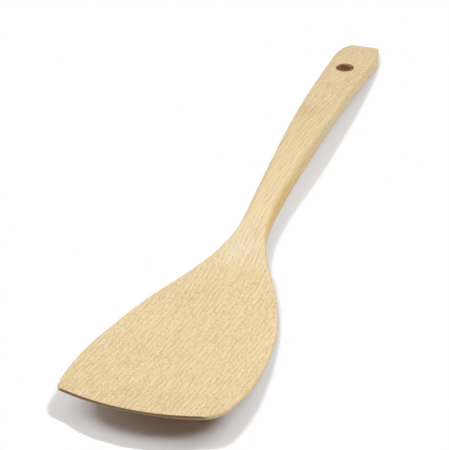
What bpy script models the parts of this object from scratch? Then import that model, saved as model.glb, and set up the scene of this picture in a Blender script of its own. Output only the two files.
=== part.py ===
# One-piece wooden wok spatula, carved from a single beech board.
# Metres, +Z up. +Y runs from the blade's front edge to the handle's sawn end, +X is to the right.
# The origin is under the middle of the part, on the surface that it rests on.

import math

import bmesh
import bpy
import numpy as np
from mathutils import Matrix, Vector

# Lengths along the spatula
BLADE_LENGTH = 0.125        # front edge to the end of the shoulders
NECK_LENGTH = 0.030         # end of the shoulders to the narrowest place
HANDLE_LENGTH = 0.165       # narrowest place to the sawn end

# Widths, seen from above
BLADE_WIDTH = 0.0658        # widest place of the blade
NECK_WIDTH = 0.0112         # narrowest place
HANDLE_WIDTH = 0.0189       # widest place of the handle, beside the hanging hole
FRONT_BOW = 0.0062          # how far the front edge falls back from its middle to a side of the blade
LEFT_CORNER_LENGTH = 0.0027     # the front corners are rounded by hand: a tight one on the left
LEFT_CORNER_WIDTH = 0.0027
RIGHT_CORNER_LENGTH = 0.0125    # and a wide one on the right
RIGHT_CORNER_WIDTH = 0.0074
END_CORNER_RADIUS = 0.0010

# Heights of the upper surface above the table
FRONT_HEIGHT = 0.0174       # at the front edge
ARCH_HEIGHT = 0.0195        # at the top of the handle's arch
DISH_DEPTH = 0.0010         # how far the blade is hollowed between its sides

# Thicknesses
FRONT_THICKNESS = 0.0018    # middle of the front edge
BLADE_THICKNESS = 0.0030    # middle of the blade
SIDE_THICKNESS = 0.0020     # along the sides of the blade
HANDLE_THICKNESS = 0.0092   # under the arch
END_THICKNESS = 0.0102      # at the sawn end
REST_SANDING = 0.00025      # taken off under the belly and the end, so that both lie flat

# Softened edges
BLADE_ARRIS_RADIUS = 0.0007
HANDLE_ARRIS_RADIUS = 0.0027
FRONT_TOP_RADIUS = 0.00035
FRONT_UNDERCUT_LENGTH = 0.0022      # the underside is rounded up to the front edge
FRONT_UNDERCUT_HEIGHT = 0.0011
END_SIDE_ARRIS_RADIUS = 0.0006      # the handle's soft edges run out to this at the sawn end
END_ARRIS_RADIUS = 0.0008

# Hanging hole
HOLE_DIAMETER = 0.0080
HOLE_FROM_END = 0.0385      # its centre to the sawn end
HOLE_RIM_CHAMFER = 0.0004
OVERRUN = 0.0040            # how far the drill passes both faces

# How finely the curves are followed
CUT_STEPS = 8               # sections in a rounded corner
FACE_STEPS = 12             # strips across the upper and the lower face
ARC_STEPS = 3               # strips around a softened edge
HOLE_SIDES = 40
BLADE_SECTIONS = 24
NECK_SECTIONS = 8
HANDLE_SECTIONS = 22
SMOOTH_ANGLE = math.radians(35)

NECK_START = BLADE_LENGTH
HANDLE_START = NECK_START + NECK_LENGTH
TOTAL_LENGTH = HANDLE_START + HANDLE_LENGTH
BELLY_HEIGHT = BLADE_THICKNESS - REST_SANDING
END_HEIGHT = END_THICKNESS - REST_SANDING

# Outline from above: place along the blade, neck or handle, and width, as shares.
# On the handle the width share runs from the neck's width to the handle's.
LEFT_FRONT_SHARES = [(0.0, 0.866), (0.1, 0.942), (0.2, 0.988)]
RIGHT_FRONT_SHARES = [(0.0, 0.91), (0.1, 0.93), (0.2, 0.98)]
BLADE_OUTLINE_SHARES = [(0.32, 1.0), (0.5, 0.948), (0.68, 0.83), (0.8, 0.684), (0.9, 0.524), (1.0, 0.334)]
NECK_OUTLINE_SHARE = 1.15   # of the neck's width, halfway along the neck
HANDLE_OUTLINE_SHARES = [(0.0, 0.0), (0.15, 0.16), (0.39, 0.567), (0.64, 0.835), (0.82, 1.0),
                         (0.93, 0.807), (1.0, 0.263)]

# Side view of the upper surface: place along, and height.
# The height share runs from the belly to the front edge, or from the belly to the arch,
# and behind the arch from the sawn end to the arch.
FRONT_RISE_SHARES = [(0.0, 1.0), (0.16, 0.689), (0.32, 0.428), (0.48, 0.208), (0.64, 0.046), (0.76, 0.004)]
SHOULDER_RISE_SHARES = [(0.88, 0.021), (1.0, 0.242)]
NECK_RISE_SHARES = [(0.5, 0.51), (1.0, 0.731)]
ARCH_RISE_SHARES = [(0.15, 0.901), (0.39, 1.0)]
ARCH_FALL_SHARES = [(0.64, 0.883), (0.82, 0.639), (0.92, 0.431), (1.0, 0.0)]

# Thickness in the middle: place along, and a share of the way from one named size to the next.
FRONT_THICKNESS_SHARES = [(0.0, 0.0), (0.2, 0.5), (0.48, 1.0), (0.76, 1.0)]
SHOULDER_THICKNESS_SHARES = [(0.88, 0.05), (1.0, 0.25)]
NECK_THICKNESS_SHARES = [(0.5, 0.63), (1.0, 0.92)]
ARCH_THICKNESS_SHARES = [(0.15, 1.0), (0.39, 1.0)]
END_THICKNESS_SHARES = [(0.64, 1.0), (0.82, 0.8), (1.0, 0.0)]

# How much the section still belongs to the blade: 1 is a thin plate with a dished face
# and a crowned back, 0 is the handle's soft-edged bar.
PLATE_SHARES = [(0.0, 1.0), (0.6, 1.0), (0.76, 0.92), (0.88, 0.72), (1.0, 0.46)]
NECK_PLATE_SHARES = [(0.5, 0.14), (1.0, 0.0)]
BACK_FLAT_SHARE = 0.34      # the middle of the blade's back stays flat over this share of its width
BOW_REACH_SHARE = 0.3       # the sections follow the front edge's bow over this share of the blade
ARRIS_LIMIT_SHARE = 0.42    # a softened edge takes at most this share of the thickness it sits on
END_SHARP_SHARE = 0.2       # over this share of the handle its edges get sharper towards the sawn end

BEECH_COLOUR = (0.760, 0.600, 0.360, 1.0)
BEECH_ROUGHNESS = 0.55


def clear_scene():
    for item in list(bpy.data.objects):
        bpy.data.objects.remove(item, do_unlink=True)


def natural_curve(points):
    """Smooth curve through the points: returns its height at any place along."""
    places = np.array([place for place, value in points])
    values = np.array([value for place, value in points])
    gaps = np.diff(places)
    slopes = np.diff(values) / gaps
    count = len(points)
    matrix = np.eye(count)
    right = np.zeros(count)
    for row in range(1, count - 1):
        matrix[row, row - 1] = gaps[row - 1]
        matrix[row, row] = 2 * (gaps[row - 1] + gaps[row])
        matrix[row, row + 1] = gaps[row]
        right[row] = 3 * (slopes[row] - slopes[row - 1])
    bends = np.linalg.solve(matrix, right)

    def height(place):
        place = min(max(place, places[0]), places[-1])
        piece = min(int(np.searchsorted(places, place, side="right")) - 1, count - 2)
        step = place - places[piece]
        cubic = (bends[piece + 1] - bends[piece]) / (3 * gaps[piece])
        linear = slopes[piece] - gaps[piece] * (2 * bends[piece] + bends[piece + 1]) / 3
        return float(values[piece] + step * (linear + step * (bends[piece] + step * cubic)))

    return height


def spread(shares, start, length, low, high):
    """Turns shares into places along the spatula and sizes between low and high."""
    return [(start + place * length, low + share * (high - low)) for place, share in shares]


def width_curve(front_shares):
    """Half width along one side of the spatula, which has its own front shares."""
    half_blade = BLADE_WIDTH / 2
    half_neck = NECK_WIDTH / 2
    half_handle = HANDLE_WIDTH / 2
    points = spread(front_shares + BLADE_OUTLINE_SHARES, 0, BLADE_LENGTH, 0, half_blade)
    points.append((NECK_START + NECK_LENGTH / 2, half_neck * NECK_OUTLINE_SHARE))
    points += spread(HANDLE_OUTLINE_SHARES, HANDLE_START, HANDLE_LENGTH, half_neck, half_handle)
    return natural_curve(points)


def top_curve():
    points = spread(FRONT_RISE_SHARES, 0, BLADE_LENGTH, BELLY_HEIGHT, FRONT_HEIGHT)
    points += spread(SHOULDER_RISE_SHARES, 0, BLADE_LENGTH, BELLY_HEIGHT, ARCH_HEIGHT)
    points += spread(NECK_RISE_SHARES, NECK_START, NECK_LENGTH, BELLY_HEIGHT, ARCH_HEIGHT)
    points += spread(ARCH_RISE_SHARES, HANDLE_START, HANDLE_LENGTH, BELLY_HEIGHT, ARCH_HEIGHT)
    points += spread(ARCH_FALL_SHARES, HANDLE_START, HANDLE_LENGTH, END_HEIGHT, ARCH_HEIGHT)
    return natural_curve(points)


def thickness_curve():
    points = spread(FRONT_THICKNESS_SHARES, 0, BLADE_LENGTH, FRONT_THICKNESS, BLADE_THICKNESS)
    points += spread(SHOULDER_THICKNESS_SHARES, 0, BLADE_LENGTH, BLADE_THICKNESS, HANDLE_THICKNESS)
    points += spread(NECK_THICKNESS_SHARES, NECK_START, NECK_LENGTH, BLADE_THICKNESS, HANDLE_THICKNESS)
    points += spread(ARCH_THICKNESS_SHARES, HANDLE_START, HANDLE_LENGTH, BLADE_THICKNESS, HANDLE_THICKNESS)
    points += spread(END_THICKNESS_SHARES, HANDLE_START, HANDLE_LENGTH, END_THICKNESS, HANDLE_THICKNESS)
    return natural_curve(points)


def plate_curve():
    points = spread(PLATE_SHARES, 0, BLADE_LENGTH, 0, 1)
    points += spread(NECK_PLATE_SHARES, NECK_START, NECK_LENGTH, 0, 1)
    places = [place for place, share in points]
    shares = [share for place, share in points]
    return lambda place: float(np.interp(place, places, shares))


left_half_at = width_curve(LEFT_FRONT_SHARES)
right_half_at = width_curve(RIGHT_FRONT_SHARES)
top_at = top_curve()
thickness_at = thickness_curve()
plate_at = plate_curve()


def rounding(distance, length, height):
    """How far a face is drawn in at a distance from an edge that is rounded over this length."""
    if distance >= length:
        return 0.0
    left = 1 - distance / length
    return height * (1 - math.sqrt(max(0.0, 1 - left * left)))


def bow_at(place, across):
    """How far a section's point lies behind its middle, to follow the bowed front edge."""
    reach = BLADE_LENGTH * BOW_REACH_SHARE
    if place >= reach:
        return 0.0
    fade = (1 - place / reach) ** 2
    return FRONT_BOW * fade * (across / (BLADE_WIDTH / 2)) ** 2


def section_places():
    """Distances of the sections from the front edge, closer together at both rounded ends."""
    quarter = [1 - math.cos(math.pi / 2 * step / CUT_STEPS) for step in range(CUT_STEPS + 1)]
    front = [max(LEFT_CORNER_LENGTH, RIGHT_CORNER_LENGTH) * share for share in quarter]
    back = [TOTAL_LENGTH - END_CORNER_RADIUS * share for share in reversed(quarter)]
    blade = np.linspace(front[-1], NECK_START, BLADE_SECTIONS + 1)[1:]
    neck = np.linspace(NECK_START, HANDLE_START, NECK_SECTIONS + 1)[1:]
    handle = np.linspace(HANDLE_START, back[0], HANDLE_SECTIONS + 1)[1:-1]
    return front + list(blade) + list(neck) + list(handle) + back


def arris_at(along, half, height):
    """Radius of the softened edges: small on the blade, large on the handle, small at its sawn end."""
    from_end = (TOTAL_LENGTH - along) / (HANDLE_LENGTH * END_SHARP_SHARE)
    fade = min(1.0, max(0.0, from_end))
    arris = END_SIDE_ARRIS_RADIUS + (HANDLE_ARRIS_RADIUS - END_SIDE_ARRIS_RADIUS) * fade * (2 - fade)
    arris += (BLADE_ARRIS_RADIUS - arris) * plate_at(along)
    return min(arris, height * ARRIS_LIMIT_SHARE, half * ARRIS_LIMIT_SHARE)


def section_ring(place):
    """Closed ring of points around the spatula at this distance from the front edge."""
    to_end = TOTAL_LENGTH - place
    end_corner = rounding(to_end, END_CORNER_RADIUS, END_CORNER_RADIUS)
    left_half = left_half_at(place + bow_at(place, left_half_at(place))) - end_corner
    left_half -= rounding(place, LEFT_CORNER_LENGTH, LEFT_CORNER_WIDTH)
    right_half = right_half_at(place + bow_at(place, right_half_at(place))) - end_corner
    right_half -= rounding(place, RIGHT_CORNER_LENGTH, RIGHT_CORNER_WIDTH)
    top_cut = rounding(place, FRONT_TOP_RADIUS, FRONT_TOP_RADIUS)
    top_cut += rounding(to_end, END_ARRIS_RADIUS, END_ARRIS_RADIUS)
    low_cut = rounding(place, FRONT_UNDERCUT_LENGTH, FRONT_UNDERCUT_HEIGHT)
    low_cut += rounding(to_end, END_ARRIS_RADIUS, END_ARRIS_RADIUS)

    def faces(across):
        """Place along and heights of the upper and the lower face, at a point across."""
        along = min(place + bow_at(place, across), TOTAL_LENGTH)
        plate = plate_at(along)
        half = right_half if across > 0 else left_half
        share = min(abs(across) / half, 1.0)
        crown = max(0.0, (share - BACK_FLAT_SHARE) / (1 - BACK_FLAT_SHARE)) ** 2
        hollow = DISH_DEPTH * plate
        middle = thickness_at(along)
        thinning = max(0.0, (middle - SIDE_THICKNESS) * plate)
        top = top_at(along)
        low = max(top - middle, 0.0) + (hollow + thinning) * crown
        return along, top + hollow * share ** 2 - top_cut, low + low_cut

    def side_arc(half, side):
        """Where the flat of the face ends, and the softened side from the upper to the lower face."""
        along, top, low = faces(side * half)
        arris = arris_at(along, half, top - low)
        inner = half - arris
        along, top, low = faces(side * inner)
        points = []
        for centre, first, last in ((top - arris, 90, 0), (low + arris, 0, -90)):
            for step in range(ARC_STEPS + 1):
                angle = math.radians(first + (last - first) * step / ARC_STEPS)
                reach = inner + arris * math.cos(angle)
                points.append((side * reach, along, centre + arris * math.sin(angle)))
        return inner, points[1:-1]

    left_inner, left_points = side_arc(left_half, -1)
    right_inner, right_points = side_arc(right_half, 1)
    top_points = []
    low_points = []
    for step in range(FACE_STEPS + 1):
        across = (left_inner + right_inner) * step / FACE_STEPS - left_inner
        along, top, low = faces(across)
        top_points.append((across, along, top))
        low_points.append((across, along, low))
    ring = top_points + right_points + low_points[::-1] + left_points[::-1]
    return [Vector((x, y - TOTAL_LENGTH / 2, z)) for x, y, z in ring]


def cap_faces(ring):
    """Closes an end: each point of the upper face is joined to the one below it."""
    low_start = FACE_STEPS + 1 + 2 * ARC_STEPS
    low_end = low_start + FACE_STEPS
    upper = ring[:FACE_STEPS + 1]
    lower = ring[low_start:low_end + 1][::-1]
    right = ring[FACE_STEPS:low_start + 1]
    left = ring[low_end:] + ring[:1]
    faces = []
    for step in range(FACE_STEPS):
        faces.append([upper[step], upper[step + 1], lower[step + 1], lower[step]])
    for side in (right, left):
        for step in range(ARC_STEPS):
            faces.append([side[step], side[step + 1], side[-2 - step], side[-1 - step]])
    return faces


def make_body_mesh():
    """Joins the rings of all sections into one closed body."""
    body = bmesh.new()
    rings = []
    for place in section_places():
        rings.append([body.verts.new(point) for point in section_ring(place)])
    count = len(rings[0])
    for ring, following in zip(rings, rings[1:]):
        for index in range(count):
            beside = (index + 1) % count
            body.faces.new([ring[index], ring[beside], following[beside], following[index]])
    for face in cap_faces(rings[0]) + cap_faces(rings[-1]):
        body.faces.new(face)
    bmesh.ops.recalc_face_normals(body, faces=body.faces)
    mesh = bpy.data.meshes.new("spatula_body")
    body.to_mesh(mesh)
    body.free()
    mesh.shade_smooth()
    mesh.set_sharp_from_angle(angle=SMOOTH_ANGLE)
    return mesh


def make_beech():
    beech = bpy.data.materials.new("beech")
    beech.use_nodes = True
    shader = beech.node_tree.nodes["Principled BSDF"]
    shader.inputs["Base Color"].default_value = BEECH_COLOUR
    shader.inputs["Roughness"].default_value = BEECH_ROUGHNESS
    shader.inputs["Metallic"].default_value = 0.0
    return beech


def make_drill():
    """The drill that makes the hanging hole, square to the handle, with a chamfer at each rim."""
    place = TOTAL_LENGTH - HOLE_FROM_END
    step = HOLE_DIAMETER / 2
    slope = (top_at(place + step) - top_at(place - step)) / (2 * step)
    top = top_at(place)
    low = top - thickness_at(place)
    radius = HOLE_DIAMETER / 2
    half = (top - low) / 2
    flare = radius + HOLE_RIM_CHAMFER + OVERRUN
    profile = [(flare, -half - OVERRUN), (radius, HOLE_RIM_CHAMFER - half),
               (radius, half - HOLE_RIM_CHAMFER), (flare, half + OVERRUN)]
    drill = bmesh.new()
    rings = []
    for reach, height in profile:
        circle = bmesh.ops.create_circle(drill, segments=HOLE_SIDES, radius=reach,
                                         matrix=Matrix.Translation((0, 0, height)))
        rings.append(circle["verts"])
    for ring, following in zip(rings, rings[1:]):
        for index in range(HOLE_SIDES):
            beside = (index + 1) % HOLE_SIDES
            drill.faces.new([ring[index], ring[beside], following[beside], following[index]])
    drill.faces.new(rings[0])
    drill.faces.new(rings[-1])
    bmesh.ops.recalc_face_normals(drill, faces=drill.faces)
    mesh = bpy.data.meshes.new("drill")
    drill.to_mesh(mesh)
    drill.free()
    cutter = bpy.data.objects.new("drill", mesh)
    centre = Vector((0, place - TOTAL_LENGTH / 2, (top + low) / 2))
    tilt = Matrix.Rotation(math.atan(slope), 4, "X")
    cutter.matrix_world = Matrix.Translation(centre) @ tilt
    cutter.hide_render = True
    cutter.display_type = "WIRE"
    bpy.context.collection.objects.link(cutter)
    return cutter


def make_spatula():
    spatula = bpy.data.objects.new("spatula_body", make_body_mesh())
    spatula.data.materials.append(make_beech())
    bpy.context.collection.objects.link(spatula)
    hole = spatula.modifiers.new("hanging_hole", "BOOLEAN")
    hole.operation = "DIFFERENCE"
    hole.solver = "EXACT"
    hole.object = make_drill()


clear_scene()
make_spatula()
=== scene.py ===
# Looks of a wooden wok spatula: the CAD solid is replaced by a finer carved body in bare beech,
# lying on white paper under soft studio light.
# Metres, +Z up, +Y from the blade's front edge to the handle's sawn end.
import math

import bmesh
import bpy
import numpy as np
from mathutils import Matrix, Vector, noise


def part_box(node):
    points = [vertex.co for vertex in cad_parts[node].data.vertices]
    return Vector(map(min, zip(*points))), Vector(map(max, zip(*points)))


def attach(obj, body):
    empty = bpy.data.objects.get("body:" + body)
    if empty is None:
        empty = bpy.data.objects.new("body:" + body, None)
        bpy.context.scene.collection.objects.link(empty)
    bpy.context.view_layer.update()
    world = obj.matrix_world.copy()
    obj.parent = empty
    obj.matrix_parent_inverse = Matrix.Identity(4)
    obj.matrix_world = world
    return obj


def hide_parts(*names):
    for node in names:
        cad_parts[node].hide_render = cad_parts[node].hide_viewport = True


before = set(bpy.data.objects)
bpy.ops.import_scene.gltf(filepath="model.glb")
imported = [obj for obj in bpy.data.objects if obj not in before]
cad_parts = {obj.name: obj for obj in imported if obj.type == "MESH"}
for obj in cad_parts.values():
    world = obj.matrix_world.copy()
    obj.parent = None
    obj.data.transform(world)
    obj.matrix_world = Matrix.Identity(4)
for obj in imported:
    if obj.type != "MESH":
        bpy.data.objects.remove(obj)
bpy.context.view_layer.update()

mm = 0.001
bodyLow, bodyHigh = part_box("spatula_body")
totalLength = bodyHigh.y - bodyLow.y
bladeWidth = bodyHigh.x - bodyLow.x
archHeight = bodyHigh.z - bodyLow.z


def hexColour(code):
    # sRGB hex to the linear values that Blender's sockets take
    channels = [int(code[i:i + 2], 16) / 255 for i in (1, 3, 5)]
    linear = [c / 12.92 if c <= 0.04045 else ((c + 0.055) / 1.055) ** 2.4 for c in channels]
    return (*linear, 1.0)


def addNode(tree, kind, settings=None, links=None):
    # settings are the node's own options or values of its inputs, links are {input: output socket}
    node = tree.nodes.new(kind)
    for name, value in (settings or {}).items():
        if isinstance(name, str) and hasattr(node, name):
            setattr(node, name, value)
        else:
            node.inputs[name].default_value = value
    for name, socket in (links or {}).items():
        tree.links.new(socket, node.inputs[name])
    return node


def newMaterial(name):
    material = bpy.data.materials.new(name)
    material.use_nodes = True
    material.node_tree.nodes.clear()
    return material, material.node_tree


# The spatula's shape: one body, carved from a board, with a drilled hanging hole


spatula = {
    "bladeLength": 125 * mm,
    "neckLength": 30 * mm,
    "neckWidth": 11.2 * mm,
    "handleWidth": 18.9 * mm,
    "frontBow": 6.2 * mm,
    "leftCornerLength": 2.7 * mm,   # the front corners are rounded by hand, the right one wider
    "leftCornerWidth": 2.7 * mm,
    "rightCornerLength": 12.5 * mm,
    "rightCornerWidth": 7.4 * mm,
    "endCornerRadius": 1.0 * mm,
    "frontHeight": 17.4 * mm,
    "dishDepth": 1.0 * mm,
    "frontThickness": 1.8 * mm,
    "bladeThickness": 3.0 * mm,
    "sideThickness": 2.0 * mm,
    "handleThickness": 9.2 * mm,
    "endThickness": 10.2 * mm,
    "restSanding": 0.25 * mm,       # taken off where it rests, which leaves it flat there
    "bladeArris": 0.7 * mm,
    "handleArris": 2.7 * mm,
    "frontTopRadius": 0.35 * mm,
    "undercutLength": 2.2 * mm,
    "undercutHeight": 1.1 * mm,
    "endSideArris": 0.6 * mm,
    "endArris": 0.8 * mm,
    "holeDiameter": 8.0 * mm,
    "holeFromEnd": 38.5 * mm,
    "holeChamfer": 0.4 * mm,
    "drillOverrun": 4 * mm,
    "sandingWave": 0.05 * mm,       # how far sanding leaves the faces from true
    "sandingWaveLength": 22 * mm,
    "sandingFullFrom": 6 * mm,      # the height above the table where those waves are full
    "sharpFrom": 38,                # degrees between faces that makes an edge sharp

    # outline and side view as shares of the sizes above: place along a stretch, and value
    "leftFrontShares": [(0.0, 0.866), (0.1, 0.942), (0.2, 0.988)],
    "rightFrontShares": [(0.0, 0.91), (0.1, 0.93), (0.2, 0.98)],
    "bladeOutlineShares": [(0.32, 1.0), (0.5, 0.948), (0.68, 0.83), (0.8, 0.684), (0.9, 0.524),
                           (1.0, 0.334)],
    "neckOutlineShare": 1.15,
    "handleOutlineShares": [(0.0, 0.0), (0.15, 0.16), (0.39, 0.567), (0.64, 0.835), (0.82, 1.0),
                            (0.93, 0.807), (1.0, 0.263)],
    "frontRiseShares": [(0.0, 1.0), (0.16, 0.689), (0.32, 0.428), (0.48, 0.208), (0.64, 0.046),
                        (0.76, 0.004)],
    "shoulderRiseShares": [(0.88, 0.021), (1.0, 0.242)],
    "neckRiseShares": [(0.5, 0.51), (1.0, 0.731)],
    "archRiseShares": [(0.15, 0.901), (0.39, 1.0)],
    "archFallShares": [(0.64, 0.883), (0.82, 0.639), (0.92, 0.431), (1.0, 0.0)],
    "frontThicknessShares": [(0.0, 0.0), (0.2, 0.5), (0.48, 1.0), (0.76, 1.0)],
    "shoulderThicknessShares": [(0.88, 0.05), (1.0, 0.25)],
    "neckThicknessShares": [(0.5, 0.63), (1.0, 0.92)],
    "archThicknessShares": [(0.15, 1.0), (0.39, 1.0)],
    "endThicknessShares": [(0.64, 1.0), (0.82, 0.8), (1.0, 0.0)],
    "bladePlateShares": [(0.0, 1.0), (0.6, 1.0), (0.76, 0.92), (0.88, 0.72), (1.0, 0.46)],
    "neckPlateShares": [(0.5, 0.14), (1.0, 0.0)],
    "backFlatShare": 0.34,          # how much of the blade's back is flat before it curves up
    "bowReachShare": 0.3,           # how far along the blade its front edge's bow is felt
    "arrisLimitShare": 0.42,        # rounded edges take up no more than this of a height or half width
    "endSharpShare": 0.2,           # the last of the handle, where its edges turn sharper
}

# how finely the body is followed
meshSteps = {"corner": 18, "across": 36, "arc": 7, "blade": 72, "neck": 26, "handle": 84, "drill": 72}


def naturalCurve(points):
    # smooth curve through the points, as a function of the place along
    places, values = (np.array(column) for column in zip(*points))
    gaps = np.diff(places)
    slopes = np.diff(values) / gaps
    count = len(points)
    matrix = np.eye(count)
    right = np.zeros(count)
    for row in range(1, count - 1):
        matrix[row, row - 1:row + 2] = gaps[row - 1], 2 * (gaps[row - 1] + gaps[row]), gaps[row]
        right[row] = 3 * (slopes[row] - slopes[row - 1])
    bends = np.linalg.solve(matrix, right)

    def valueAt(place):
        place = min(max(place, places[0]), places[-1])
        piece = min(int(np.searchsorted(places, place, side="right")) - 1, count - 2)
        step = place - places[piece]
        cubic = (bends[piece + 1] - bends[piece]) / (3 * gaps[piece])
        linear = slopes[piece] - gaps[piece] * (2 * bends[piece] + bends[piece + 1]) / 3
        return float(values[piece] + step * (linear + step * (bends[piece] + step * cubic)))

    return valueAt


def spread(shares, start, length, low, high):
    # shares of a stretch and of a range of values, turned into places and values
    return [(start + place * length, low + share * (high - low)) for place, share in shares]


def shapeCurves(s):
    # along the spatula: half widths on the left and right, height of the upper face,
    # thickness, and how far it is a thin plate rather than a handle
    blade = s["bladeLength"]
    neckEnd = blade + s["neckLength"]
    handle = totalLength - neckEnd
    belly = s["bladeThickness"] - s["restSanding"]
    end = s["endThickness"] - s["restSanding"]
    thin, thick = s["bladeThickness"], s["handleThickness"]
    halfNeck, halfHandle = s["neckWidth"] / 2, s["handleWidth"] / 2
    widths = []
    for frontShares in (s["leftFrontShares"], s["rightFrontShares"]):
        width = spread(frontShares + s["bladeOutlineShares"], 0, blade, 0, bladeWidth / 2)
        width += [(blade + s["neckLength"] / 2, halfNeck * s["neckOutlineShare"])]
        width += spread(s["handleOutlineShares"], neckEnd, handle, halfNeck, halfHandle)
        widths.append(naturalCurve(width))
    top = spread(s["frontRiseShares"], 0, blade, belly, s["frontHeight"])
    top += spread(s["shoulderRiseShares"], 0, blade, belly, archHeight)
    top += spread(s["neckRiseShares"], blade, s["neckLength"], belly, archHeight)
    top += spread(s["archRiseShares"], neckEnd, handle, belly, archHeight)
    top += spread(s["archFallShares"], neckEnd, handle, end, archHeight)
    depth = spread(s["frontThicknessShares"], 0, blade, s["frontThickness"], thin)
    depth += spread(s["shoulderThicknessShares"], 0, blade, thin, thick)
    depth += spread(s["neckThicknessShares"], blade, s["neckLength"], thin, thick)
    depth += spread(s["archThicknessShares"], neckEnd, handle, thin, thick)
    depth += spread(s["endThicknessShares"], neckEnd, handle, s["endThickness"], thick)
    plate = spread(s["bladePlateShares"], 0, blade, 0, 1)
    plate += spread(s["neckPlateShares"], blade, s["neckLength"], 0, 1)
    platePlaces, plateValues = zip(*plate)
    return (widths, naturalCurve(top), naturalCurve(depth),
            lambda place: float(np.interp(place, platePlaces, plateValues)))


halfWidthsAt, topAt, thicknessAt, plateAt = shapeCurves(spatula)


def rounding(distance, length, height):
    # how much a corner rounded over this length and height takes off at a distance from its end
    if distance >= length:
        return 0.0
    left = 1 - distance / length
    return height * (1 - math.sqrt(max(0.0, 1 - left * left)))


def bowAt(place, across):
    # how much further back a point lies because the front edge is bowed
    reach = spatula["bladeLength"] * spatula["bowReachShare"]
    if place >= reach:
        return 0.0
    return spatula["frontBow"] * (1 - place / reach) ** 2 * (across / (bladeWidth / 2)) ** 2


def sectionPlaces():
    # close together in the rounded corners, evenly spaced between them
    s = spatula
    steps = meshSteps["corner"]
    quarter = [1 - math.cos(math.pi / 2 * step / steps) for step in range(steps + 1)]
    front = [max(s["leftCornerLength"], s["rightCornerLength"]) * share for share in quarter]
    back = [totalLength - s["endCornerRadius"] * share for share in reversed(quarter)]
    neckStart = s["bladeLength"]
    neckEnd = neckStart + s["neckLength"]
    blade = np.linspace(front[-1], neckStart, meshSteps["blade"] + 1)[1:]
    neck = np.linspace(neckStart, neckEnd, meshSteps["neck"] + 1)[1:]
    handle = np.linspace(neckEnd, back[0], meshSteps["handle"] + 1)[1:-1]
    return front + list(blade) + list(neck) + list(handle) + back


def arrisAt(along, half, height):
    # small on the blade, large on the handle, small again at its sawn end
    s = spatula
    handle = totalLength - s["bladeLength"] - s["neckLength"]
    fade = min(1.0, max(0.0, (totalLength - along) / (handle * s["endSharpShare"])))
    arris = s["endSideArris"] + (s["handleArris"] - s["endSideArris"]) * fade * (2 - fade)
    arris += (s["bladeArris"] - arris) * plateAt(along)
    return min(arris, height * s["arrisLimitShare"], half * s["arrisLimitShare"])


def sectionRing(place):
    # one closed ring round the body: upper face, right side, lower face, left side
    s = spatula
    toEnd = totalLength - place
    halves = []
    for halfAt, corner in zip(halfWidthsAt, ("leftCorner", "rightCorner")):
        half = halfAt(place + bowAt(place, halfAt(place)))
        half -= rounding(toEnd, s["endCornerRadius"], s["endCornerRadius"])
        halves.append(half - rounding(place, s[corner + "Length"], s[corner + "Width"]))
    endCut = rounding(toEnd, s["endArris"], s["endArris"])
    topCut = rounding(place, s["frontTopRadius"], s["frontTopRadius"]) + endCut
    lowCut = rounding(place, s["undercutLength"], s["undercutHeight"]) + endCut

    def faces(across):
        along = min(place + bowAt(place, across), totalLength)
        plate = plateAt(along)
        share = min(abs(across) / halves[across > 0], 1.0)
        crown = max(0.0, (share - s["backFlatShare"]) / (1 - s["backFlatShare"])) ** 2
        hollow = s["dishDepth"] * plate
        middle = thicknessAt(along)
        thinning = max(0.0, (middle - s["sideThickness"]) * plate)
        top = topAt(along)
        low = max(top - middle, 0.0) + (hollow + thinning) * crown
        return along, top + hollow * share ** 2 - topCut, low + lowCut

    inners, sides = [], []
    for half, side in zip(halves, (-1, 1)):
        along, top, low = faces(side * half)
        arris = arrisAt(along, half, top - low)
        inner = half - arris
        along, top, low = faces(side * inner)
        arc = []
        # quarter circles, in degrees: from the top to the side, and from the side to the bottom
        for centre, first, last in ((top - arris, 90, 0), (low + arris, 0, -90)):
            for step in range(meshSteps["arc"] + 1):
                angle = math.radians(first + (last - first) * step / meshSteps["arc"])
                outer = inner + arris * math.cos(angle)
                arc.append((side * outer, along, centre + arris * math.sin(angle)))
        inners.append(inner)
        sides.append(arc[1:-1])
    upper, lower = [], []
    for step in range(meshSteps["across"] + 1):
        across = sum(inners) * step / meshSteps["across"] - inners[0]
        along, top, low = faces(across)
        upper.append((across, along, top))
        lower.append((across, along, low))
    ring = upper + sides[1] + lower[::-1] + sides[0][::-1]
    return [Vector((x, y - totalLength / 2, z)) for x, y, z in ring]


def capFaces(ring):
    # closes an end with four-sided faces between the ring's upper and lower points
    across, arc = meshSteps["across"], meshSteps["arc"]
    lowStart = across + 1 + 2 * arc
    lowEnd = lowStart + across
    upper = ring[:across + 1]
    lower = ring[lowStart:lowEnd + 1][::-1]
    faces = [[upper[i], upper[i + 1], lower[i + 1], lower[i]] for i in range(across)]
    for side in (ring[across:lowStart + 1], ring[lowEnd:] + ring[:1]):
        faces += [[side[i], side[i + 1], side[-2 - i], side[-1 - i]] for i in range(arc)]
    return faces


def sandedPoint(point):
    # the slight waves that sanding leaves; they fade out towards the table that it rests on
    s = spatula
    lift = min(1.0, max(0.0, point.z / s["sandingFullFrom"]))
    wave = noise.noise(point / s["sandingWaveLength"]) * s["sandingWave"] * lift
    return point + Vector((wave, 0, -abs(wave)))


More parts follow.
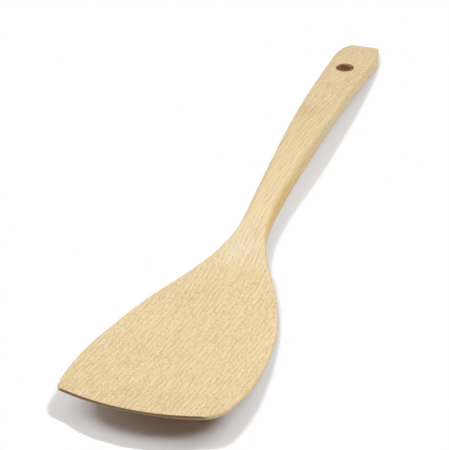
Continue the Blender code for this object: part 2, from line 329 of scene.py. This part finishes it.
def drillObject():
    # the drill that cuts the hole: it stands square on the upper face and flares at both rims
    s = spatula
    place = totalLength - s["holeFromEnd"]
    radius = s["holeDiameter"] / 2
    slope = (topAt(place + radius) - topAt(place - radius)) / (2 * radius)
    top = topAt(place)
    low = top - thicknessAt(place)
    half = (top - low) / 2
    chamfer, overrun = s["holeChamfer"], s["drillOverrun"]
    flare = radius + chamfer + overrun
    profile = [(flare, -half - overrun), (radius, chamfer - half),
               (radius, half - chamfer), (flare, half + overrun)]
    drill = bmesh.new()
    rings = []
    for reach, height in profile:
        circle = bmesh.ops.create_circle(drill, segments=meshSteps["drill"], radius=reach,
                                         matrix=Matrix.Translation((0, 0, height)))
        rings.append(circle["verts"])
    for ring, following in zip(rings, rings[1:]):
        for i in range(len(ring)):
            j = (i + 1) % len(ring)
            drill.faces.new([ring[i], ring[j], following[j], following[i]])
    drill.faces.new(rings[0])
    drill.faces.new(rings[-1])
    bmesh.ops.recalc_face_normals(drill, faces=drill.faces)
    mesh = bpy.data.meshes.new("drill")
    drill.to_mesh(mesh)
    drill.free()
    cutter = bpy.data.objects.new("drill", mesh)
    centre = Vector((0, place - totalLength / 2, (top + low) / 2))
    cutter.matrix_world = Matrix.Translation(centre) @ Matrix.Rotation(math.atan(slope), 4, "X")
    bpy.context.collection.objects.link(cutter)
    return cutter


def carvedBody():
    body = bmesh.new()
    rings = [[body.verts.new(sandedPoint(point)) for point in sectionRing(place)]
             for place in sectionPlaces()]
    count = len(rings[0])
    for ring, following in zip(rings, rings[1:]):
        for i in range(count):
            j = (i + 1) % count
            body.faces.new([ring[i], ring[j], following[j], following[i]])
    for face in capFaces(rings[0]) + capFaces(rings[-1]):
        body.faces.new(face)
    bmesh.ops.recalc_face_normals(body, faces=body.faces)
    mesh = bpy.data.meshes.new("carvedSpatula")
    body.to_mesh(mesh)
    body.free()
    carved = bpy.data.objects.new("carvedSpatula", mesh)
    bpy.context.collection.objects.link(carved)
    cutter = drillObject()
    hole = carved.modifiers.new("hangingHole", "BOOLEAN")
    hole.solver = "EXACT"
    hole.object = cutter
    bpy.context.view_layer.update()
    depsgraph = bpy.context.evaluated_depsgraph_get()
    finished = bpy.data.meshes.new_from_object(carved.evaluated_get(depsgraph))
    carved.modifiers.clear()
    carved.data = finished
    finished.name = "carvedSpatula"
    bpy.data.objects.remove(cutter, do_unlink=True)
    finished.shade_smooth()
    finished.set_sharp_from_angle(angle=math.radians(spatula["sharpFrom"]))
    return carved


# Bare beech, cut from a flat-sawn board and sanded: pale tan faces with short dark ray flecks,
# warmer sides and browner end grain; some of its layers are painted shade and painted highlights


holeRadius = spatula["holeDiameter"] / 2
holePlace = totalLength / 2 - spatula["holeFromEnd"]
holeSpread = 0.1 * mm               # how far out of the hole its brown reaches at the sides; past the near and far rims it reaches further, as painted shade
bandGap = 0.314                     # of a cell: how far apart the wave node draws its bands

# how strongly something shows: between the first two values of what it follows, its strength
# goes from the third value to the fourth
onSides = (0.35, 0.95, 0.0, 1.0)
onEnds = (0.62, 0.92, 0.0, 1.0)
inFlecks = (0.0, 1.0, 0.0, 1.0)
holeScorchAndShade = (holeRadius + holeSpread, holeRadius, 0.0, 1.0)

beech = {
    "face": "#ebd7ad",
    # sanded, not oiled: rough, a little smoother on the pale fibres
    "roughness": {"fibres": (0.3, 0.7, 0.63, 0.51)},
    "refraction": 1.5,
    "relief": 0.45,
    "reliefDepth": 0.06 * mm,
    "fibreRelief": 0.5,             # the fibres' share in the relief beside the flecks'
    "grainTurn": 5.5,               # degrees between the grain and the spatula's length, at its middle
    "grainSway": 0.27,              # and how it bends away from that, per metre
    # the flat pattern turns up on to a side where the face leans out by this much
    "turnUp": {"sideways": (0.6, 0.8, 0.0, 1.0)},

    # spots: their middle, and how much a distance across, along and upwards counts from there
    "spots": {
        "fromPaintedSheen": ((-1 * mm, -30 * mm, 7 * mm), (1, 1, 1)),
        "fromSmudge": ((-3 * mm, 70 * mm, 18.5 * mm), (1, 1, 1)),
        "fromTanSpot": ((-17 * mm, -58 * mm, 3 * mm), (1, 0.6, 1)),
        # along the spatula the hole's distance counts less, so its brown runs past the near and far rims
        # as painted shade
        "fromHole": ((0, holePlace, 0), (1, 0.75, 0)),
    },

    # patterns: their node, the size of a cell across and along the grain, where they start,
    # and settings
    "patterns": {
        # broad bands between growth rings on a flat-sawn face
        "rings": ("ShaderNodeTexNoise", 9 * mm, 130 * mm, 0.0, {"Detail": 3.0, "Roughness": 0.55}),
        # fainter lines along the grain, this far from each other
        "ribs": ("ShaderNodeTexWave", 1.9 * mm / bandGap, 10 * mm, 3.1,
                 {"wave_type": "BANDS", "bands_direction": "X", "Distortion": 4.0,
                  "Detail": 1.0, "Detail Scale": 1.0, "Detail Roughness": 0.5}),
        # real fibres are 0.02 mm wide, too fine for the picture, so these are coarser
        "fibres": ("ShaderNodeTexNoise", 0.42 * mm, 11 * mm, 7.7,
                   {"noise_dimensions": "2D", "Detail": 1.0, "Roughness": 0.5}),
        # ray flecks: real ones are 0.1 to 0.3 mm wide and 1 to 3 mm long, these a little wider
        "flecks": ("ShaderNodeTexVoronoi", 0.50 * mm, 2.5 * mm, 1.3,
                   {"voronoi_dimensions": "2D", "Randomness": 0.95}),
        # the ends of the vessels where the board is cut across: real ones are 0.1 mm wide, these
        # are coarser
        "pores": ("ShaderNodeTexVoronoi", 0.5 * mm, 6 * mm, 5.9, {"Randomness": 1.0}),
        # blotches where the drill scorched the hole
        "scorch": ("ShaderNodeTexNoise", 2 * mm, 2 * mm, 2.2, {"Detail": 1.0}),
    },
    # these are flat and follow the bent grain over faces and sides, the others fill the wood
    "onBoard": ("ribs", "fibres", "flecks"),

    # a fleck is deepest in its middle, and some are deeper than others by chance
    "fleckDepth": {"flecks": (0.42, 0.10, 0.0, 1.0), "chance": (0.3, 1.0, 0.2, 1.0)},

    # colours laid over the face, one after another, and what their strength follows
    "layers": [
        # the blade's front, a little darker, and most at its edge: painted shade
        ("#e1cda0", {"along": (-70 * mm, -125 * mm, 0.0, 0.85)}),
        ("#d2b98c", {"along": (-128 * mm, -155 * mm, 0.0, 0.48)}),
        # bands between the growth rings
        ("#e5cd9f", {"rings": (0.36, 0.64, 0.0, 0.9)}),
        # a little darker on the handle's faces: painted shade, where less light falls on them
        ("#dcc396", {"along": (-28 * mm, 72 * mm, 0.0, 1.0), "sideways": (0.3, 0.8, 0.7, 0.0)}),
        # a painted highlight of sheen where the blade turns into the neck, and a smudge half way up the
        # handle
        ("#f0e3c8", {"fromPaintedSheen": (18 * mm, 0.0, 0.0, 0.55)}),
        ("#c2a878", {"fromSmudge": (10 * mm, 0.0, 0.0, 0.55)}),
        # a warmer patch along the blade's left side
        ("#d8c094", {"fromTanSpot": (23 * mm, 0.0, 0.0, 0.5)}),
        # the sides: golden at the neck; paler along the blade, a painted highlight of the paper's
        # reflection and the wood's sheen; and paler towards the handle's end, painted light where little
        # light falls on them
        ("#eec474", {"sideways": onSides, "along": (-10 * mm, 70 * mm, 0.95, 0.22)}),
        ("#f8dda4", {"sideways": onSides, "along": (-30 * mm, -60 * mm, 0.0, 0.95)}),
        ("#f8dea8", {"sideways": onSides, "along": (50 * mm, 110 * mm, 0.0, 0.55)}),
        # the underside, painted darker and redder than the wood: painted shade, which also darkens and
        # reddens the shadow under the blade by what it throws back
        ("#d0ab98", {"upwards": (-0.2, -0.8, 0.0, 1.0)}),
        # pale and dark lines and fibres, and flecks, which are strongest on the blade and turn
        # darker again towards the handle's end
        ("#f6e2b8", {"ribs": (0.5, 1.0, 0.0, 0.24)}),
        ("#be9c66", {"ribs": (0.5, 0.0, 0.0, 0.11)}),
        ("#f6e2b8", {"fibres": (0.50, 0.72, 0.0, 0.30)}),
        ("#be9c66", {"fibres": (0.50, 0.28, 0.0, 0.26)}),
        ("#be9c66", {"fleckDepth": inFlecks, "along": (-60 * mm, -20 * mm, 0.98, 0.43)}),
        ("#a88552", {"fleckDepth": inFlecks, "along": (30 * mm, 100 * mm, 0.0, 0.42)}),
        # end grain, browner than the faces, and darkest at the blade's edge, where the dark is partly
        # painted shade of its lip; and the dark ends of its vessels
        ("#876840", {"endways": onEnds}),
        ("#c8a572", {"endways": onEnds, "along": (120 * mm, 150 * mm, 0.0, 1.0)}),
        ("#6f5030", {"endways": onEnds, "pores": (0.35, 0.15, 0.0, 0.8)}),
        # the drill's heat leaves the hole's wall brown; past its near and far rims the brown is painted
        # shade of the hole
        ("#b08355", {"fromHole": holeScorchAndShade}),
        ("#7e5835", {"fromHole": holeScorchAndShade, "scorch": (0.40, 0.60, 0.0, 0.7)}),
    ],
}


def beechMaterial():
    b = beech
    material, tree = newMaterial("sandedBeech")
    place = addNode(tree, "ShaderNodeTexCoord").outputs
    turned = addNode(tree, "ShaderNodeMapping", {"Rotation": (0, 0, math.radians(b["grainTurn"]))},
                     {"Vector": place["Object"]}).outputs["Vector"]
    axes = addNode(tree, "ShaderNodeSeparateXYZ", None, {"Vector": turned}).outputs
    facing = addNode(tree, "ShaderNodeSeparateXYZ", None, {"Vector": place["Normal"]}).outputs
    sources = {"along": axes["Y"], "upwards": facing["Z"]}
    for name, axis in (("sideways", "X"), ("endways", "Y")):
        sources[name] = addNode(tree, "ShaderNodeMath", {"operation": "ABSOLUTE"},
                                {0: facing[axis]}).outputs["Value"]

    def follow(ranges):
        # how strongly something shows that follows one or more sources
        strength = None
        for name, (low, high, first, last) in ranges.items():
            step = addNode(tree, "ShaderNodeMapRange",
                           {"interpolation_type": "SMOOTHSTEP", "From Min": low, "From Max": high,
                            "To Min": first, "To Max": last}, {"Value": sources[name]}).outputs["Result"]
            if strength:
                step = addNode(tree, "ShaderNodeMath", {"operation": "MULTIPLY"},
                               {0: strength, 1: step}).outputs["Value"]
            strength = step
        return strength

    # a flat pattern along the slightly bent grain, laid on the faces and, turned up, on the sides
    squared = addNode(tree, "ShaderNodeMath", {"operation": "MULTIPLY"}, {0: axes["Y"], 1: axes["Y"]})
    straight = addNode(tree, "ShaderNodeMath", {"operation": "MULTIPLY_ADD", 1: -b["grainSway"]},
                       {0: squared.outputs["Value"], 2: axes["X"]}).outputs["Value"]
    across = addNode(tree, "ShaderNodeMix", {"data_type": "FLOAT"},
                     {"Factor": follow(b["turnUp"]), "A": straight, "B": axes["Z"]}).outputs["Result"]
    board = addNode(tree, "ShaderNodeCombineXYZ", None, {"X": across, "Y": axes["Y"]}).outputs["Vector"]

    for name, (kind, width, length, start, settings) in b["patterns"].items():
        cells = addNode(tree, "ShaderNodeMapping",
                        {"Scale": (1 / width, 1 / length, 1 / width), "Location": (start, start, start)},
                        {"Vector": board if name in b["onBoard"] else turned})
        pattern = addNode(tree, kind, {"Scale": 1.0, **settings},
                          {"Vector": cells.outputs["Vector"]}).outputs
        sources[name] = pattern["Distance"] if "Distance" in pattern else pattern["Fac"]
        if name == "flecks":
            sources["chance"] = addNode(tree, "ShaderNodeSeparateColor", None,
                                        {"Color": pattern["Color"]}).outputs["Red"]

    for name, (middle, weights) in b["spots"].items():
        away = addNode(tree, "ShaderNodeVectorMath", {"operation": "SUBTRACT", 1: middle},
                       {0: place["Object"]}).outputs["Vector"]
        weighed = addNode(tree, "ShaderNodeVectorMath", {"operation": "MULTIPLY", 1: weights},
                          {0: away}).outputs["Vector"]
        sources[name] = addNode(tree, "ShaderNodeVectorMath", {"operation": "LENGTH"},
                                {0: weighed}).outputs["Value"]

    sources["fleckDepth"] = follow(b["fleckDepth"])
    colour = None
    for code, ranges in b["layers"]:
        # inputs 6 and 7 of a colour mix are what lies below and what is laid over it
        links = {0: follow(ranges)}
        if colour:
            links[6] = colour
        colour = addNode(tree, "ShaderNodeMix",
                         {"data_type": "RGBA", 6: hexColour(b["face"]), 7: hexColour(code)},
                         links).outputs[2]

    # fibres stand up a little, and flecks lie deeper
    fibres = addNode(tree, "ShaderNodeMath", {"operation": "MULTIPLY", 1: b["fibreRelief"]},
                     {0: sources["fibres"]}).outputs["Value"]
    grain = addNode(tree, "ShaderNodeMath", {"operation": "SUBTRACT"},
                    {0: fibres, 1: sources["fleckDepth"]}).outputs["Value"]
    relief = addNode(tree, "ShaderNodeBump", {"Strength": b["relief"], "Distance": b["reliefDepth"]},
                     {"Height": grain}).outputs["Normal"]
    shader = addNode(tree, "ShaderNodeBsdfPrincipled", {"IOR": b["refraction"], "Metallic": 0.0},
                     {"Base Color": colour, "Roughness": follow(b["roughness"]), "Normal": relief})
    addNode(tree, "ShaderNodeOutputMaterial", None, {"Surface": shader.outputs["BSDF"]})
    return material


carved = carvedBody()
print("body carved and drilled:", len(carved.data.polygons), "faces")
carved.data.materials.clear()
carved.data.materials.append(beechMaterial())
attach(carved, "root")
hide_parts("spatula_body")
print("beech laid on in", len(beech["layers"]), "layers")


# Studio: white paper, soft light, and the camera of the photograph


camera = {
    "lens": 160,                    # mm
    "frame": 36,                    # mm across its picture
    "elevation": 30.5,              # degrees above the table
    "turn": 18.06,                  # degrees that the camera stands round to the right of the blade's end
    "distance": 825.4 * mm,
    "aimLeft": 17.42 * mm,          # the picture's middle lies this far left of the spatula's middle
    "aimUp": 0.93 * mm,
    "nearest": 10 * mm,
    "farthest": 50.0,
}

paper = {
    "colour": "#e2e2e2",
    "size": 4.0,
    # how far to either side the shadow is seen on it, past which painted light, plain white, covers it:
    # place along the spatula, and reach
    "shadowReaches": [(-159.5 * mm, 0.0), (-156.5 * mm, 18.2 * mm), (-152.5 * mm, 26.2 * mm),
                      (-148 * mm, 34.6 * mm), (-141 * mm, 36.8 * mm), (-131 * mm, 37.4 * mm),
                      (-105 * mm, 34.8 * mm), (-85 * mm, 31.8 * mm), (-65 * mm, 26.8 * mm),
                      (-44 * mm, 18.9 * mm), (-24 * mm, 11 * mm), (-3 * mm, 8.7 * mm),
                      (60 * mm, 10.8 * mm), (145 * mm, 9.7 * mm), (166 * mm, 7.5 * mm), (178 * mm, 0.0)],
    "shadowLean": [(-150 * mm, -3.2 * mm), (-105 * mm, 0.0)],   # in front its middle lies to the left
    "shadowFade": 3 * mm,           # over this width it turns to white
    # the oval under the blade's front where it is darkest, and the share of white laid over the shadow
    # outside it as painted light
    "coreMiddle": (0, -137 * mm, 0),
    "coreReach": (24 * mm, 15 * mm, 1),
    "coreTurn": 7,                  # degrees
    "coreEdge": (0.8, 1.2),
    "coreOutside": 0.3,
}

# the dome's light comes from overhead only: none from below the first of these heights, all of it
# from above the second; 0 is level with the table and 1 straight up
dome = {"light": 0.50, "opensFrom": 0.65, "opensTo": 0.82}

# soft boxes: degrees round from the camera's side to its right, degrees up, metres away and wide, watts
softboxes = {
    "rightSoftbox": {"round": 90, "raised": 56, "away": 0.85, "size": 0.5, "power": 4.2},
    "leftSoftbox": {"round": -85, "raised": 36, "away": 0.85, "size": 0.5, "power": 2.1},
    "frontSoftbox": {"round": -30, "raised": 58, "away": 0.85, "size": 0.35, "power": 1.8},
}


def pictureAxes(c):
    turn, tilt = math.radians(c["turn"]), math.radians(c["elevation"])
    right = Vector((math.cos(turn), math.sin(turn), 0))
    level = Vector((-math.sin(turn), math.cos(turn), 0))
    view = level * math.cos(tilt) - Vector((0, 0, math.sin(tilt)))
    up = level * math.sin(tilt) + Vector((0, 0, math.cos(tilt)))
    return right, level, up, view


def addCamera(c):
    right, _, up, view = pictureAxes(c)
    aim = up * c["aimUp"] - right * c["aimLeft"]
    data = bpy.data.cameras.new("camera")
    data.lens = c["lens"]
    data.sensor_width = c["frame"]
    data.clip_start = c["nearest"]
    data.clip_end = c["farthest"]
    eye = bpy.data.objects.new("camera", data)
    turned = Matrix((right, up, -view)).transposed().to_4x4()
    eye.matrix_world = Matrix.Translation(aim - view * c["distance"]) @ turned
    bpy.context.collection.objects.link(eye)
    bpy.context.scene.camera = eye


def seenRays(tree):
    # 1 where something is seen, directly or mirrored or through glass, and 0 where it gives light
    path = addNode(tree, "ShaderNodeLightPath").outputs
    seen = path["Is Camera Ray"]
    for ray in ("Is Glossy Ray", "Is Transmission Ray"):
        seen = addNode(tree, "ShaderNodeMath", {"operation": "MAXIMUM"},
                       {0: seen, 1: path[ray]}).outputs["Value"]
    return seen


def paperMaterial(p):
    # uncoated white paper: it has no gloss, only shows the spatula's shadow, and is plain white away from
    # it;
    # the shadow is paled by painted light, glowing white, past its reach and outside its darkest oval
    material, tree = newMaterial("whitePaper")
    objectPlace = addNode(tree, "ShaderNodeTexCoord").outputs["Object"]
    place = addNode(tree, "ShaderNodeSeparateXYZ", None, {"Vector": objectPlace}).outputs

    # the reach at this place along the spatula, from a curve
    reaches = p["shadowReaches"]
    first, last = reaches[0][0], reaches[-1][0]
    widest = max(reach for along, reach in reaches)
    share = addNode(tree, "ShaderNodeMapRange", {"From Min": first, "From Max": last},
                    {"Value": place["Y"]})
    reachCurve = addNode(tree, "ShaderNodeFloatCurve", None, {"Value": share.outputs["Result"]})
    points = reachCurve.mapping.curves[0].points
    for along, reach in reaches[1:-1]:
        points.new((along - first) / (last - first), reach / widest)
    points[0].location = (0, 0)
    points[-1].location = (1, 0)
    reachCurve.mapping.update()

    # how far this place lies beyond that reach
    (frontY, frontX), (backY, backX) = p["shadowLean"]
    middle = addNode(tree, "ShaderNodeMapRange",
                     {"From Min": frontY, "From Max": backY, "To Min": frontX, "To Max": backX},
                     {"Value": place["Y"]})
    aside = addNode(tree, "ShaderNodeMath", {"operation": "SUBTRACT"},
                    {0: place["X"], 1: middle.outputs["Result"]})
    across = addNode(tree, "ShaderNodeMath", {"operation": "ABSOLUTE"}, {0: aside.outputs["Value"]})
    beyond = addNode(tree, "ShaderNodeMath", {"operation": "MULTIPLY_ADD", 1: -widest},
                     {0: reachCurve.outputs["Value"], 2: across.outputs["Value"]})
    away = addNode(tree, "ShaderNodeMapRange",
                   {"interpolation_type": "SMOOTHSTEP", "From Min": -p["shadowFade"], "From Max": 0.0},
                   {"Value": beyond.outputs["Value"]})

    # how far outside the oval where it is darkest
    core = addNode(tree, "ShaderNodeMapping",
                   {"vector_type": "TEXTURE", "Location": p["coreMiddle"], "Scale": p["coreReach"],
                    "Rotation": (0, 0, math.radians(p["coreTurn"]))},
                   {"Vector": objectPlace})
    fromCore = addNode(tree, "ShaderNodeVectorMath", {"operation": "LENGTH"}, {0: core.outputs["Vector"]})
    low, high = p["coreEdge"]
    thin = addNode(tree, "ShaderNodeMapRange",
                   {"interpolation_type": "SMOOTHSTEP", "From Min": low, "From Max": high,
                    "To Max": p["coreOutside"]}, {"Value": fromCore.outputs["Value"]})

    # painted light: glowing white mixed over the rendered shadow
    paler = addNode(tree, "ShaderNodeMath", {"operation": "MAXIMUM"},
                    {0: away.outputs["Result"], 1: thin.outputs["Result"]})
    white = addNode(tree, "ShaderNodeMath", {"operation": "MULTIPLY"},
                    {0: seenRays(tree), 1: paler.outputs["Value"]})
    matte = addNode(tree, "ShaderNodeBsdfDiffuse", {"Color": hexColour(p["colour"])})
    bright = addNode(tree, "ShaderNodeEmission", {"Strength": 1.0})
    both = addNode(tree, "ShaderNodeMixShader", None,
                   {0: white.outputs["Value"], 1: matte.outputs["BSDF"], 2: bright.outputs["Emission"]})
    addNode(tree, "ShaderNodeOutputMaterial", None, {"Surface": both.outputs["Shader"]})
    return material


def addPaper(p):
    half = p["size"] / 2
    mesh = bpy.data.meshes.new("paper")
    corners = [(-half, -half, 0), (half, -half, 0), (half, half, 0), (-half, half, 0)]
    mesh.from_pydata(corners, [], [(0, 1, 2, 3)])
    mesh.materials.append(paperMaterial(p))
    sheet = bpy.data.objects.new("paper", mesh)
    bpy.context.collection.objects.link(sheet)


def addSoftbox(name, box):
    right, level = pictureAxes(camera)[:2]
    turn, tilt = math.radians(box["round"]), math.radians(box["raised"])
    flat = right * math.sin(turn) - level * math.cos(turn)
    outwards = flat * math.cos(tilt) + Vector((0, 0, math.sin(tilt)))
    data = bpy.data.lights.new(name, "AREA")
    data.shape = "SQUARE"
    data.size = box["size"]
    data.energy = box["power"]
    lamp = bpy.data.objects.new(name, data)
    turned = (-outwards).to_track_quat("-Z", "Y").to_matrix().to_4x4()
    lamp.matrix_world = Matrix.Translation(outwards * box["away"]) @ turned
    bpy.context.collection.objects.link(lamp)


def addDome(d):
    # lights the spatula from above only; what is seen of it is plain white
    world = bpy.data.worlds.new("whiteDome")
    bpy.context.scene.world = world
    world.use_nodes = True
    tree = world.node_tree
    tree.nodes.clear()
    direction = addNode(tree, "ShaderNodeTexCoord").outputs["Generated"]
    height = addNode(tree, "ShaderNodeSeparateXYZ", None, {"Vector": direction}).outputs["Z"]
    light = addNode(tree, "ShaderNodeMapRange",
                    {"interpolation_type": "SMOOTHSTEP", "From Min": d["opensFrom"],
                     "From Max": d["opensTo"], "To Max": d["light"]}, {"Value": height})
    strength = addNode(tree, "ShaderNodeMix", {"data_type": "FLOAT", "B": 1.0},
                       {"Factor": seenRays(tree), "A": light.outputs["Result"]})
    sky = addNode(tree, "ShaderNodeBackground", {"Color": (1, 1, 1, 1)},
                  {"Strength": strength.outputs["Result"]})
    addNode(tree, "ShaderNodeOutputWorld", None, {"Surface": sky.outputs["Background"]})


addCamera(camera)
addPaper(paper)
addDome(dome)
for name, box in softboxes.items():
    addSoftbox(name, box)
bpy.context.scene.view_settings.view_transform = "Standard"
print("camera, paper, dome and", len(softboxes), "soft boxes set up")
